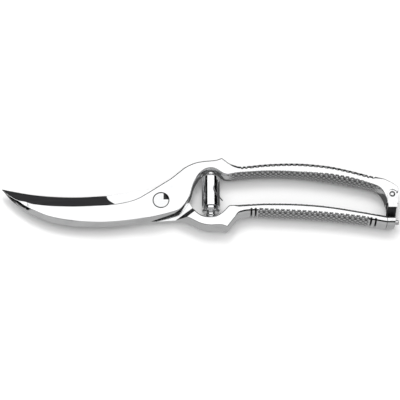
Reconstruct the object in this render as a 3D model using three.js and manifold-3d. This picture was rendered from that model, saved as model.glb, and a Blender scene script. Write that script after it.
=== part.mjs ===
// Poultry shears: two forged halves crossing at a screw pivot, a telescoping spring
// barrel between them, and a hinged latch that holds the handles shut.
// Millimetres. X runs from the blades (-X) to the handles (+X), Y from the lower handle
// to the upper one, Z up through the pivot. The origin is on the pivot axis, underneath.
import * as THREE from 'three';
import { mergeVertices } from 'three/addons/utils/BufferGeometryUtils.js';
import Module from 'manifold-3d';

const wasm = await Module();
wasm.setup();

// Overall sizes
const bladeLength = 101.7;
const handleLength = 97.4;
const ringEnd = 45;
const thickness = 11.6;
const lapGap = 0.2;
const runningGap = 0.3;

// Blades
const bladeHeelThickness = 4.6;
const bladeMiddleThickness = 3.6;
const bladeTipThickness = 1.5;
const edgeThickness = 0.35;
const edgeBevel = 1.6;
const spineChamfer = 3;
const heelChamfer = 2;
const cheekRound = 1.5;
const cheekOuterRound = 1.1;
const ringInnerRound = 1.8;
const ringOuterRound = 1.5;

// Handle bar
const handleInnerRound = 2.6;
const handleOuterRound = 3.9;
const upperInnerRound = 2.4;
const upperInnerFullRound = 3.7;
const upperOuterRound = 3.4;
const endSlant = 0.7;
const grooveWidth = 0.9;
const grooveDepth = 0.8;
const frontHalfGrooves = [51.5, 54.2];
const rearHalfGrooves = [57, 59.7];
const frontEndGrooveSetbacks = [12.8, 9.9];
const rearEndGrooveSetbacks = [9.8, 6.9];

// Pivot
const pivotShank = 6;
const pivotHead = 10;
const pivotHeadDepth = 2.4;
const pivotFlatDepth = 0.3;
const pivotNotchDepth = 2;
const pivotNotchRise = 0.5;
const pivotFlatOffset = 1.5;
const pivotThread = 5;
const nutDiameter = 11;
const nutDepth = 2.6;
const nutFloor = 0.8;
const spannerHole = 1.6;
const spannerReach = 3.9;
const pivotPlay = 0.1;

// Spring barrel
const barrelX = 31.5;
const caseBallY = 19.8;
const plungerBallY = -7.6;
const ballRadius = 2.9;
const ballPlay = 0.4;
const caseRadius = 5.65;
const caseBore = 4.7;
const caseTop = 17.4;
const caseBottom = -2.7;
const plungerRadius = 4.4;
const plungerBore = 3.6;
const plungerTop = 13;
const collarTop = -4.3;
const collarDepth = 2;
const collarRadius = 5.5;
const neckRadius = 1.7;
const openAngle = 25;
const swingClearance = 0.45;
const springRadius = 2.8;
const springWire = 1;
const springTurns = 7;
const stopWire = 0.7;
const stopWireHoleX = 2.1;
const stopWireHoleY = 10.2;
const stopWirePlay = 0.12;

// Latch
const latchPinInset = 3.8;
const latchPinRise = 5.15;
const latchPin = 2.8;
const latchPinHead = 3.6;
const earThickness = 1.6;
const earInset = 0.1;
const earHalfWidth = 2.8;
const earLength = 8.6;
const webDrop = 6.8;
const waistTop = 3.6;
const waistNarrow = 0.6;
const footDrop = 14.6;
const footLength = 4.9;
const studRadius = 1.2;
const studKnob = 1.5;
const studDepth = 6;
const studSlotHalf = 2.05;
const latchSwing = 60;

// Where the two halves are cut away to cross: the front half's shoulder, and the rear
// half's riser with how far its foot leans back toward the pivot.
const lapCorners = [[25, 1.2], [19.6, 4.2], [2.6, 13.4]];
const riserCorners = [[5, -14.9], [27, 2.4]];
const riserLean = [2.95, -3.776];

const lapLow = (thickness - lapGap) / 2;
const lapHigh = (thickness + lapGap) / 2;
const middle = thickness / 2;
const handleEnd = ringEnd + handleLength;
const barFacets = 48;

// Cross-sections. top and bottom are the flats; ridgeIn and ridgeOut the heights of the
// widest points; the four rounds are how far each flat stops short of them. fullIn and
// fullOut say how full the top's rounds are: 1 is a straight bevel, higher is rounder.
const roundFullness = 2.3;
const chamferFullness = 1.15;
const bevelFullness = 1.6;
const through = (topIn, topOut, bottomIn = topIn, bottomOut = topOut) => ({
  top: thickness, bottom: 0, ridgeIn: middle, ridgeOut: middle,
  topIn, topOut, bottomIn, bottomOut,
  topFullIn: roundFullness, topFullOut: roundFullness,
  bottomFullIn: roundFullness, bottomFullOut: roundFullness,
});
const plate = through(cheekRound, cheekOuterRound, 0.5, 0.5);
const ring = through(ringInnerRound, ringOuterRound);
const cusp = through(ringInnerRound, 1.9);
const bar = through(handleInnerRound, handleOuterRound);
const slimBar = through(upperInnerRound, upperOuterRound);
const fullBar = through(upperInnerFullRound, upperOuterRound);
const shoulder = through(1.8, 1.5);
const lobe = through(0.8, 0.8);
const bladed = (height, ridgeIn, ridgeOut, topIn, topOut) => ({
  top: lapHigh + height, bottom: lapHigh,
  ridgeIn: lapHigh + ridgeIn, ridgeOut: lapHigh + ridgeOut,
  topIn, topOut, bottomIn: 0.2, bottomOut: 0.1,
  topFullIn: chamferFullness, topFullOut: bevelFullness,
  bottomFullIn: roundFullness, bottomFullOut: roundFullness,
});
const frontTip = bladed(bladeTipThickness, edgeThickness, edgeThickness, spineChamfer, 0.2);
const frontPoint = bladed(2.3, 0.6, edgeThickness, spineChamfer, 0.5);
const frontBlade = bladed(bladeMiddleThickness, 0.9, edgeThickness, spineChamfer, edgeBevel);
const frontHeel = bladed(bladeHeelThickness, 1.2, 0.9, heelChamfer, edgeBevel);
const turnedOver = (part) => ({
  top: thickness - part.bottom, bottom: thickness - part.top,
  ridgeIn: thickness - part.ridgeIn, ridgeOut: thickness - part.ridgeOut,
  topIn: part.bottomIn, topOut: part.bottomOut,
  bottomIn: part.topIn, bottomOut: part.topOut,
  topFullIn: part.bottomFullIn, topFullOut: part.bottomFullOut,
  bottomFullIn: part.topFullIn, bottomFullOut: part.topFullOut,
});
const rearTip = turnedOver(frontTip);
const rearBlade = turnedOver(frontBlade);
const rearHeel = turnedOver(frontHeel);

// Stations, tip to handle end: inner side x and y, outer side x and y, cross-section.
// Blade x is a share of the blade's length and handle x of the handle's.
const b = (share) => -bladeLength * share;
const h = (share) => ringEnd + handleLength * share;
const frontRuns = [
  [
    [b(0.989), 7.75, b(0.988), 8, frontTip],
    [b(0.952), 2.9, b(0.954), 4.95, frontTip],
    [b(0.899), -1.75, b(0.895), 1.6, frontPoint],
    [b(0.845), -5.6, b(0.846), 0.5, frontPoint],
    [b(0.789), -8.7, b(0.797), -0.5, frontBlade],
    [b(0.683), -13, b(0.7), -1.65, frontBlade],
    [b(0.542), -15.7, b(0.556), -2.15, frontBlade],
    [b(0.384), -16.1, b(0.4), -1.95, frontHeel],
    [b(0.26), -15.4, b(0.3), -1.3, frontHeel],
    [-14.7, -13.9, -22, 0.15, frontHeel],
    [-6.9, -12.5, -15.5, 1.9, plate],
    [-0.1, -11, -9.5, 5.35, plate],
    [6.8, -9.1, -4, 8.95, plate],
    [12.3, -7, 1, 12.3, plate],
    [16, -2.6, 6, 15.7, plate],
    [18.6, 2.2, 11, 20, ring],
    [19.7, 7, 15, 23.3, ring],
    [21.1, 11.5, 19, 25.4, ring],
    [23.8, 16.3, 23, 26.8, ring],
    [27.2, 19.6, 27.5, 27.55, ring],
    [30.9, 20.7, 31.5, 27.9, ring],
    [34.4, 20.1, 35, 28.3, ring],
    [37.8, 18, 38.6, 29.6, ring],
  ],
  [
    [37.8, 18, 38.6, 29.6, ring],
    [40.1, 16.6, 40.8, 27.9, ring],
    [43.1, 16.2, 43.2, 26, ring],
    [47, 16.5, 47, 24.8, slimBar],
    [h(0.07), 17, h(0.07), 24.1, slimBar],
    [h(0.24), 17.9, h(0.24), 25.8, slimBar],
    [h(0.44), 17.2, h(0.44), 26.2, slimBar],
    [h(0.63), 14.7, h(0.63), 24.4, fullBar],
    [h(0.765), 12.3, h(0.775), 21.3, fullBar],
    [h(0.88), 10, h(0.91), 17.6, slimBar],
    [h(1) - 4.4, 7.4, h(1) - 0.1, 15, shoulder],
    [h(1) - 1, 3, h(1) + 7.6, 9.6, lobe],
    [h(1), -1, h(1) + 7.6, 4.6, lobe],
    [h(1), -1.01, h(1) + 7.6, -1, lobe],
  ],
];
const rearRuns = [
  [
    [b(0.999), 9.4, b(1), 8.9, rearTip],
    [b(0.942), 8.1, b(0.95), 4.4, rearTip],
    [b(0.823), 5.95, b(0.842), -1.4, rearBlade],
    [b(0.703), 4.6, b(0.723), -3.9, rearBlade],
    [b(0.544), 4, b(0.554), -4.9, rearBlade],
    [b(0.385), 4.75, b(0.406), -5.1, rearHeel],
    [b(0.317), 5.35, b(0.327), -6.2, rearHeel],
    [-22, 7, -24, -10, rearHeel],
    [-10.8, 8.75, -15, -12.4, plate],
    [0, 9.4, -6, -12.4, plate],
    [8, 8.3, 0, -12.2, plate],
    [13.5, 5.2, 6, -11.8, plate],
    [16.8, 1.6, 11, -11.6, plate],
    [19, -2.2, 15, -12.1, plate],
    [21, -5.2, 19.2, -13.9, ring],
    [23.4, -7.6, 22.6, -15.7, ring],
    [26.6, -9.4, 26, -17.1, ring],
    [30.9, -10, 30.5, -17.9, ring],
    [35.2, -9.3, 35, -17.8, ring],
    [38.8, -7, 38.6, -17.9, cusp],
    [41.2, -4.6, 41.7, -18.9, cusp],
  ],
  [
    [41.2, -4.6, 41.7, -18.9, cusp],
    [43, -2.7, 44.2, -15.7, ring],
    [46, -2.3, 46.5, -12.8, ring],
    [49.8, -2, 49.3, -10.3, bar],
    [h(0.12), -1.5, h(0.12), -8.9, bar],
    [h(0.24), -1, h(0.24) - 0.1, -9.4, bar],
    [h(0.44), -1.4, h(0.44) - 0.3, -10.4, bar],
    [h(0.63), -3.1, h(0.63) - endSlant * 0.4, -11.8, bar],
    [h(0.825), -6.3, h(0.825) - endSlant * 0.8, -14, bar],
    [h(0.92), -8, h(0.92) - endSlant, -15.4, bar],
    [h(1), -9.5, h(1) - endSlant, -16.7, bar],
  ],
];

function toManifold(geometry) {
  geometry.deleteAttribute('normal');
  geometry.deleteAttribute('uv');
  const merged = mergeVertices(geometry, 1e-5);
  const mesh = new wasm.Mesh({
    numProp: 3,
    vertProperties: new Float32Array(merged.attributes.position.array),
    triVerts: new Uint32Array(merged.index.array),
  });
  return new wasm.Manifold(mesh);
}

function toGeometry(solid) {
  const mesh = solid.getMesh();
  const geometry = new THREE.BufferGeometry();
  geometry.setAttribute('position', new THREE.BufferAttribute(mesh.vertProperties, 3));
  geometry.setIndex(new THREE.BufferAttribute(mesh.triVerts, 1));
  geometry.computeVertexNormals();
  return geometry;
}

function namedPiece(name, solid, color, roughness) {
  const material = new THREE.MeshStandardMaterial({ color, roughness, metalness: 1 });
  const mesh = new THREE.Mesh(toGeometry(solid), material);
  mesh.name = name;
  return mesh;
}

// One closed cross-section, standing on the line from inner to outer.
function sectionRing(inner, outer, shape, inset) {
  const along = outer.clone().sub(inner);
  const width = along.length();
  along.normalize();
  const { top, bottom } = shape;
  const side = (flat, ridge, round, full, from, sign) => [0, 0.55, 0.88, 1].map((rise) => {
    const back = 1 - (1 - rise ** full) ** (1 / full);
    const step = rise === 0 ? 0 : inset + round * back;
    return [from + sign * step, THREE.MathUtils.lerp(ridge, flat, rise)];
  });
  const roundIn = (round) => Math.min(round, width * 0.8);
  const roundOut = (round, other) => Math.min(round, (width - roundIn(other)) * 0.9);
  const topOut = roundOut(shape.topOut, shape.topIn);
  const bottomOut = roundOut(shape.bottomOut, shape.bottomIn);
  const points = [
    ...side(top, shape.ridgeIn, roundIn(shape.topIn), shape.topFullIn, 0, 1),
    ...side(top, shape.ridgeOut, topOut, shape.topFullOut, width, -1).reverse(),
    ...side(bottom, shape.ridgeOut, bottomOut, shape.bottomFullOut, width, -1).slice(1),
    ...side(bottom, shape.ridgeIn, roundIn(shape.bottomIn), shape.bottomFullIn, 0, 1)
      .slice(1).reverse(),
  ];
  points[0][0] += inset;
  points[7][0] -= inset;
  return points.map(([u, z]) => {
    const p = inner.clone().addScaledVector(along, u);
    return new THREE.Vector3(p.x, p.y, z);
  });
}

function blend(from, to, share) {
  const keys = Object.keys(from);
  return Object.fromEntries(keys.map((k) => [k, THREE.MathUtils.lerp(from[k], to[k], share)]));
}

// A run of stations as two smooth curves with the cross-section blended between them.
function stationRun(rows) {
  const inner = new THREE.SplineCurve(rows.map((r) => new THREE.Vector2(r[0], r[1])));
  const outer = new THREE.SplineCurve(rows.map((r) => new THREE.Vector2(r[2], r[3])));
  const last = rows.length - 1;
  return (t, inset) => {
    const at = Math.min(Math.floor(t * last), last - 1);
    const shape = blend(rows[at][4], rows[at + 1][4], t * last - at);
    return sectionRing(inner.getPoint(t), outer.getPoint(t), shape, inset);
  };
}

function whereAtX(ringAt, x) {
  let low = 0;
  let high = 1;
  for (let i = 0; i < 30; i++) {
    const mid = (low + high) / 2;
    if (ringAt(mid, 0)[0].x < x) low = mid;
    else high = mid;
  }
  return low;
}

// Rings along one run, with a pair of steps down and up at each groove.
function ringsAlong(rows, steps, grooves) {
  const ringAt = stationRun(rows);
  const count = (rows.length - 1) * steps;
  const stops = [];
  for (let i = 0; i <= count; i++) stops.push([i / count, 0]);
  for (const x of grooves) {
    const first = whereAtX(ringAt, x - grooveWidth / 2);
    const last = whereAtX(ringAt, x + grooveWidth / 2);
    const quarter = (last - first) / 4;
    for (let i = stops.length - 1; i >= 0; i--) {
      if (stops[i][0] > first - quarter && stops[i][0] < last + quarter) stops.splice(i, 1);
    }
    stops.push([first, 0], [first + quarter, grooveDepth]);
    stops.push([last - quarter, grooveDepth], [last, 0]);
  }
  stops.sort((p, q) => p[0] - q[0]);
  return stops.map(([t, inset]) => ringAt(t, inset));
}

function loft(rings) {
  const n = rings[0].length;
  const positions = rings.flat().flatMap((p) => [p.x, p.y, p.z]);
  const index = [];
  for (let i = 0; i < rings.length - 1; i++) {
    for (let j = 0; j < n; j++) {
      const a = i * n + j;
      const c = i * n + ((j + 1) % n);
      index.push(a, c, a + n, c, c + n, a + n);
    }
  }
  const lastRing = (rings.length - 1) * n;
  for (let j = 1; j < n - 1; j++) {
    index.push(0, j + 1, j, lastRing, lastRing + j, lastRing + j + 1);
  }
  const geometry = new THREE.BufferGeometry();
  geometry.setAttribute('position', new THREE.Float32BufferAttribute(positions, 3));
  geometry.setIndex(index);
  return geometry;
}

function facingOut(geometry) {
  const p = geometry.attributes.position;
  const index = geometry.index.array;
  let volume = 0;
  for (let i = 0; i < index.length; i += 3) {
    const [a, c, d] = [0, 1, 2].map((k) => new THREE.Vector3().fromBufferAttribute(p, index[i + k]));
    volume += a.dot(c.cross(d));
  }
  if (volume < 0) {
    for (let i = 0; i < index.length; i += 3) [index[i], index[i + 1]] = [index[i + 1], index[i]];
  }
  return geometry;
}

function rod(radius, bottom, top, x = 0, y = 0, facets = barFacets) {
  const geometry = new THREE.CylinderGeometry(radius, radius, top - bottom, facets);
  geometry.rotateX(Math.PI / 2);
  geometry.translate(x, y, (bottom + top) / 2);
  return toManifold(geometry);
}

function block(x0, x1, y0, y1, z0, z1) {
  const geometry = new THREE.BoxGeometry(x1 - x0, y1 - y0, z1 - z0);
  geometry.translate((x0 + x1) / 2, (y0 + y1) / 2, (z0 + z1) / 2);
  return toManifold(geometry);
}

// A turned piece on the barrel's axis; the profile gives radius and y.
function turned(profile, facets = 32) {
  const geometry = new THREE.LatheGeometry(profile.map(([r, y]) => new THREE.Vector2(r, y)), facets);
  geometry.translate(barrelX, 0, middle);
  return toManifold(facingOut(mergeVertices(strip(geometry), 1e-5)));
}

function strip(geometry) {
  geometry.deleteAttribute('normal');
  geometry.deleteAttribute('uv');
  return geometry;
}

function ball(radius, y) {
  const geometry = new THREE.SphereGeometry(radius, 24, 14);
  geometry.translate(barrelX, y, middle);
  return toManifold(geometry);
}

// A prism on four corners whose last two corners move by lean between floor and roof.
function riserCut(corners, lean, floor, roof) {
  const at = (z, shift) => corners.map(([x, y], i) => (
    new THREE.Vector3(x + (i > 1 ? shift[0] : 0), y + (i > 1 ? shift[1] : 0), z)));
  return toManifold(facingOut(loft([at(floor, [0, 0]), at(roof, lean)])));
}

// Front half: its blade is the lower one, its handle the upper one. The lap takes away
// its lower layer from the tip to a sloped riser past the pivot.
function frontHalf() {
  const endGrooves = frontEndGrooveSetbacks.map((s) => handleEnd - s);
  const rings = [
    ...ringsAlong(frontRuns[0], 3, []),
    ...ringsAlong(frontRuns[1], 3, [...frontHalfGrooves, ...endGrooves]).slice(1),
  ];
  let solid = toManifold(facingOut(loft(rings)));
  const far = -bladeLength - 20;
  const lap = [[far, 60], [far, -60], [lapCorners[0][0], -60], ...lapCorners];
  lap.push([lapCorners.at(-1)[0], 60]);
  const shape = new THREE.Shape(lap.map(([x, y]) => new THREE.Vector2(x, y)));
  const pocket = new THREE.ExtrudeGeometry(shape, { depth: lapHigh + 1, bevelEnabled: false });
  pocket.translate(0, 0, -1);
  solid = solid.subtract(toManifold(pocket));
  const headSeat = thickness - pivotHeadDepth;
  solid = solid.subtract(rod(pivotShank / 2 + pivotPlay, -1, thickness + 1));
  solid = solid.subtract(rod(pivotHead / 2 + 0.2, headSeat - pivotPlay, thickness + 1));
  solid = solid.subtract(ball(ballRadius + ballPlay, caseBallY));
  solid = solid.subtract(caseSwingRoom());
  return solid.subtract(latchRecess());
}

// How the barrel lies when the handles are fully open: its swing about the case's ball.
function openSwing() {
  const open = THREE.MathUtils.degToRad(openAngle);
  const foot = new THREE.Vector2(barrelX, plungerBallY).rotateAround(new THREE.Vector2(0, 0), -open);
  return Math.atan2(barrelX - foot.x, caseBallY - foot.y);
}

// Room in the arch for the top of the case, closed and swung over.
function caseSwingRoom() {
  const reach = caseRadius + swingClearance;
  const swept = [0, 0.5, 1].map((share) => {
    const geometry = new THREE.CylinderGeometry(reach, reach, caseTop + 0.6, 40);
    geometry.translate(0, (caseTop + 0.6) / 2 - caseBallY, 0);
    geometry.rotateZ(-openSwing() * share);
    geometry.translate(barrelX, caseBallY, middle);
    return toManifold(geometry);
  });
  return swept[0].add(swept[1]).add(swept[2]);
}

// Rear half: its blade is the upper one, its handle the lower one. The lap takes away
// its upper layer, back to a riser that leans toward the pivot as it goes down.
function rearHalf() {
  const endGrooves = rearEndGrooveSetbacks.map((s) => handleEnd - s);
  const rings = [
    ...ringsAlong(rearRuns[0], 3, []),
    ...ringsAlong(rearRuns[1], 3, [...rearHalfGrooves, ...endGrooves]).slice(1),
  ];
  let solid = toManifold(facingOut(loft(rings)));
  const far = -bladeLength - 20;
  const corners = [[far, 60], [far, -60], ...riserCorners];
  solid = solid.subtract(riserCut(corners, riserLean, lapLow, thickness + 1));
  solid = solid.subtract(rod(pivotShank / 2 + pivotPlay, -1, thickness + 1));
  solid = solid.subtract(rod(nutDiameter / 2 + 0.2, -1, nutDepth + pivotPlay));
  solid = solid.subtract(ball(ballRadius + ballPlay, plungerBallY));
  const studHole = new THREE.CylinderGeometry(studRadius + 0.02, studRadius + 0.02, 2 * studDepth + 0.6, 24);
  studHole.rotateZ(Math.PI / 2);
  studHole.translate(handleEnd, studY, middle);
  return solid.subtract(toManifold(studHole));
}

// Latch pin centre, and the stud's height on the lower handle's end.
const pinX = handleEnd + latchPinInset;
const pinY = -1 + latchPinRise;
const studY = (rearRuns[1].at(-1)[1] + rearRuns[1].at(-1)[3]) / 2;

// The lobe is thinned on both faces where the latch's ears swing, out to their full swing.
function latchRecess() {
  const depth = earInset + earThickness + runningGap;
  const reach = earHalfWidth + runningGap + 0.2;
  const swing = THREE.MathUtils.degToRad(latchSwing);
  const far = new THREE.Vector2(20, reach).rotateAround(new THREE.Vector2(0, 0), swing - Math.PI / 2);
  const outline = new THREE.Shape();
  outline.moveTo(-reach, -20);
  outline.lineTo(-reach, 0);
  outline.absarc(0, 0, reach, Math.PI, swing, true);
  outline.lineTo(far.x, far.y);
  outline.lineTo(20, -20);
  const clear = (z0, z1) => {
    const geometry = new THREE.ExtrudeGeometry(
      outline, { depth: z1 - z0, bevelEnabled: false, curveSegments: 24 });
    geometry.translate(pinX, pinY, z0);
    return toManifold(geometry);
  };
  const faces = clear(-1, depth).add(clear(thickness - depth, thickness + 1));
  return faces.add(rod(latchPin / 2 + pivotPlay, -1, thickness + 1, pinX, pinY, 24));
}

function pivotScrew() {
  const headBottom = thickness - pivotHeadDepth;
  let solid = rod(pivotHead / 2, headBottom, thickness);
  solid = solid.add(rod(pivotShank / 2, nutDepth + pivotPlay, headBottom + 0.5));
  solid = solid.add(rod(pivotThread / 2, nutFloor + 0.2, nutDepth + 1));
  const lowered = block(
    pivotFlatOffset, pivotHead, -pivotHead, pivotHead, thickness - pivotFlatDepth, thickness + 1);
  return solid.subtract(lowered).subtract(pivotNotch());
}

// A notch for a spanner in the head's far quarter; its floor slopes down to the rim.
function pivotNotch() {
  const rim = pivotHead / 2 + 0.5;
  const side = new THREE.Shape([
    new THREE.Vector2(pivotFlatOffset, thickness + 1),
    new THREE.Vector2(pivotFlatOffset, thickness - pivotFlatDepth),
    new THREE.Vector2(rim, thickness - pivotNotchDepth),
    new THREE.Vector2(rim, thickness + 1),
  ]);
  const geometry = new THREE.ExtrudeGeometry(side, { depth: pivotHead, bevelEnabled: false });
  geometry.rotateX(Math.PI / 2);
  geometry.translate(0, pivotNotchRise + pivotHead, 0);
  return toManifold(geometry);
}

function pivotNut() {
  let solid = rod(nutDiameter / 2, 0, nutDepth);
  solid = solid.subtract(rod(pivotThread / 2 + 0.05, nutFloor, nutDepth + 1));
  for (const side of [-1, 1]) {
    solid = solid.subtract(rod(spannerHole / 2, -1, 1.2, side * spannerReach, 0, 16));
  }
  return solid;
}

function springCase() {
  const solid = turned([
    [caseBore, caseBottom], [caseRadius, caseBottom], [caseRadius, caseTop - 0.4],
    [caseRadius - 0.4, caseTop], [caseBore, caseTop], [caseBore, caseBottom],
  ], 40);
  const hole = rod(
    stopWire / 2 + 0.2, middle, middle + caseRadius + 1, barrelX + stopWireHoleX, stopWireHoleY, 12);
  return solid.subtract(hole);
}

function casePlug() {
  const spigot = caseBore - 0.05;
  const body = turned([
    [0, caseTop - 1.8], [spigot, caseTop - 1.8], [spigot, caseTop - 0.6], [4.2, caseTop - 0.6],
    [4.2, caseTop + 0.15], [neckRadius, caseTop + 0.15], [neckRadius, caseBallY], [0, caseBallY],
  ]);
  return body.add(ball(ballRadius, caseBallY));
}

function springPlunger() {
  return turned([
    [plungerBore, collarTop], [plungerRadius, collarTop], [plungerRadius, plungerTop],
    [plungerBore, plungerTop], [plungerBore, collarTop],
  ]);
}

function plungerFoot() {
  const collarEnd = collarTop - collarDepth;
  const body = turned([
    [0, plungerBallY], [neckRadius, plungerBallY], [neckRadius, collarEnd],
    [collarRadius - 1.2, collarEnd], [collarRadius, collarEnd + 0.5], [collarRadius - 0.2, collarEnd + 1.3],
    [4.6, collarTop - 0.05], [plungerBore - 0.05, collarTop - 0.05],
    [plungerBore - 0.05, collarTop + 2.5], [0, collarTop + 2.5],
  ]);
  return body.add(ball(ballRadius, plungerBallY));
}

class Coil extends THREE.Curve {
  constructor(radius, low, high, turns) {
    super();
    Object.assign(this, { radius, low, high, turns });
  }

  getPoint(t) {
    const angle = 2 * Math.PI * this.turns * t;
    const y = THREE.MathUtils.lerp(this.low, this.high, t);
    return new THREE.Vector3(this.radius * Math.cos(angle), y, this.radius * Math.sin(angle));
  }
}

function wire(curve, diameter, steps, sides) {
  const round = [];
  for (let i = 0; i < sides; i++) {
    const angle = (2 * Math.PI * i) / sides;
    round.push(new THREE.Vector2(Math.cos(angle), Math.sin(angle)).multiplyScalar(diameter / 2));
  }
  const shape = new THREE.Shape(round);
  return new THREE.ExtrudeGeometry(shape, { steps, bevelEnabled: false, extrudePath: curve });
}

function coilSpring() {
  const low = collarTop + 2.5 + springWire;
  const high = caseTop - 1.8 - springWire;
  const geometry = wire(new Coil(springRadius, low, high, springTurns), springWire, springTurns * 14, 6);
  geometry.translate(barrelX, 0, middle);
  return toManifold(facingOut(mergeVertices(strip(geometry), 1e-5)));
}

// A bent wire: one end through the case's wall, the other lying round it and sticking out.
function caseStopWire() {
  const skin = caseRadius + stopWire / 2 + stopWirePlay;
  const wallTop = middle + Math.sqrt(caseRadius ** 2 - stopWireHoleX ** 2);
  const boreTop = middle + Math.sqrt(caseBore ** 2 - stopWireHoleX ** 2);
  const onCase = (angle, y, lift = 0) => new THREE.Vector3(
    barrelX + (skin + lift) * Math.sin(angle), y, middle + (skin + lift) * Math.cos(angle));
  const holeAngle = Math.asin(stopWireHoleX / caseRadius);
  const path = new THREE.CatmullRomCurve3([
    new THREE.Vector3(barrelX + stopWireHoleX, stopWireHoleY, boreTop + stopWire / 2),
    new THREE.Vector3(barrelX + stopWireHoleX, stopWireHoleY - 0.1, wallTop - 0.15),
    onCase(holeAngle - 0.45 / caseRadius, stopWireHoleY - 1),
    onCase(0.3, stopWireHoleY - 2.6),
    onCase(0.5, stopWireHoleY - 4.6),
    onCase(0.85, stopWireHoleY - 6.4),
    onCase(1.15, stopWireHoleY - 8, 0.5),
    onCase(1.35, stopWireHoleY - 9.2, 1.5),
  ]);
  return toManifold(facingOut(mergeVertices(strip(wire(path, stopWire, 26, 8)), 1e-5)));
}

// The latch link: two ears on the pin, a lowered waist, and a foot shaped like the handle
// bar with a slot that the stud passes through.
function latchLink() {
  const low = earInset;
  const high = thickness - earInset;
  const ear = (z0, z1) => {
    const strap = block(pinX - earHalfWidth, pinX + earHalfWidth, pinY - earLength, pinY, z0, z1);
    return strap.add(rod(earHalfWidth, z0, z1, pinX, pinY, 32));
  };
  const left = pinX - earHalfWidth;
  const right = pinX + earHalfWidth;
  const footTop = pinY - footDrop;
  let solid = ear(low, low + earThickness).add(ear(high - earThickness, high));
  solid = solid.add(block(left, right, pinY - earLength, pinY - webDrop, low, high));
  solid = solid.add(latchWaist(left, right - waistNarrow, footTop - 2));
  solid = solid.add(latchFoot());
  const slot = new THREE.BoxGeometry(20, 2 * studSlotHalf, 2 * (studKnob + 0.25));
  slot.translate(handleEnd, studY, middle);
  solid = solid.subtract(toManifold(slot));
  solid = solid.subtract(rod(latchPin / 2 + pivotPlay, -1, thickness + 1, pinX, pinY, 24));
  for (const z of [low - 1, high - 0.8]) {
    solid = solid.subtract(rod(latchPinHead / 2 + pivotPlay, z, z + 1.8, pinX, pinY, 24));
  }
  return solid;
}

// A thumb relief: the waist's upper face ramps down from the ear to the foot.
function latchWaist(left, right, footY) {
  const earEnd = pinY - earLength;
  const side = new THREE.Shape([
    new THREE.Vector2(pinY - webDrop, earInset),
    new THREE.Vector2(pinY - webDrop, thickness - earInset - 0.5),
    new THREE.Vector2(earEnd, thickness - earInset - 0.5),
    new THREE.Vector2(pinY - footDrop, waistTop),
    new THREE.Vector2(footY, waistTop),
    new THREE.Vector2(footY, earInset),
  ]);
  const geometry = new THREE.ExtrudeGeometry(side, { depth: right - left, bevelEnabled: false });
  geometry.rotateX(Math.PI / 2);
  geometry.rotateZ(Math.PI / 2);
  geometry.translate(left, 0, 0);
  return toManifold(geometry);
}

function latchFoot() {
  const [, inY, , outY] = rearRuns[1].at(-1);
  const foot = { ...bar, top: bar.top - earInset, bottom: earInset };
  const at = (x) => (
    sectionRing(new THREE.Vector2(x, inY), new THREE.Vector2(x - endSlant, outY), foot, 0));
  const start = handleEnd + runningGap;
  return toManifold(facingOut(loft([at(start), at(start + footLength)])));
}

function latchRivet() {
  const head = latchPinHead / 2;
  let solid = rod(latchPin / 2, 0.5, thickness - 0.5, pinX, pinY, 24);
  solid = solid.add(rod(head, 0.2, 0.85, pinX, pinY, 24));
  solid = solid.add(rod(head, thickness - 0.85, thickness - 0.3, pinX, pinY, 24));
  const dome = new THREE.CylinderGeometry(head * 0.6, head, 0.3, 24);
  dome.rotateX(Math.PI / 2);
  dome.translate(pinX, pinY, thickness - 0.15);
  return solid.add(toManifold(dome));
}

function latchStud() {
  const knobX = handleEnd + runningGap + footLength + studKnob + 0.5;
  const start = handleEnd - studDepth;
  const profile = [
    [0, start], [studRadius, start], [studRadius, knobX - 1.8],
    [studKnob, knobX - 1], [studKnob, knobX], [studKnob * 0.7, knobX + 0.5], [0, knobX + 0.6],
  ];
  const geometry = new THREE.LatheGeometry(profile.map(([r, y]) => new THREE.Vector2(r, y)), 24);
  geometry.rotateZ(-Math.PI / 2);
  geometry.translate(0, studY, middle);
  return toManifold(facingOut(mergeVertices(strip(geometry), 1e-5)));
}

const shears = new THREE.Group();
shears.name = 'poultry_shears';
const pieces = [
  ['front_half', frontHalf, 0xdadce0, 0.12],
  ['rear_half', rearHalf, 0xd6d8dc, 0.14],
  ['pivot_screw', pivotScrew, 0xd2d4d8, 0.15],
  ['pivot_nut', pivotNut, 0xc8cacf, 0.2],
  ['spring_case', springCase, 0xd0d3d8, 0.12],
  ['case_plug', casePlug, 0xb9bcc2, 0.2],
  ['case_stop_wire', caseStopWire, 0x8f9298, 0.3],
  ['coil_spring', coilSpring, 0x7d8087, 0.35],
  ['spring_plunger', springPlunger, 0xbcbfc6, 0.15],
  ['plunger_foot', plungerFoot, 0x9da0a7, 0.2],
  ['latch_link', latchLink, 0xcfd2d7, 0.16],
  ['latch_rivet', latchRivet, 0xc4c7cd, 0.2],
  ['latch_stud', latchStud, 0xb4b7be, 0.2],
];
for (const [name, make, color, roughness] of pieces) {
  shears.add(namedPiece(name, make(), color, roughness));
}

export default shears;
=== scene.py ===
import math

import bmesh
import bpy
import numpy as np
from mathutils import Matrix, Vector


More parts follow.
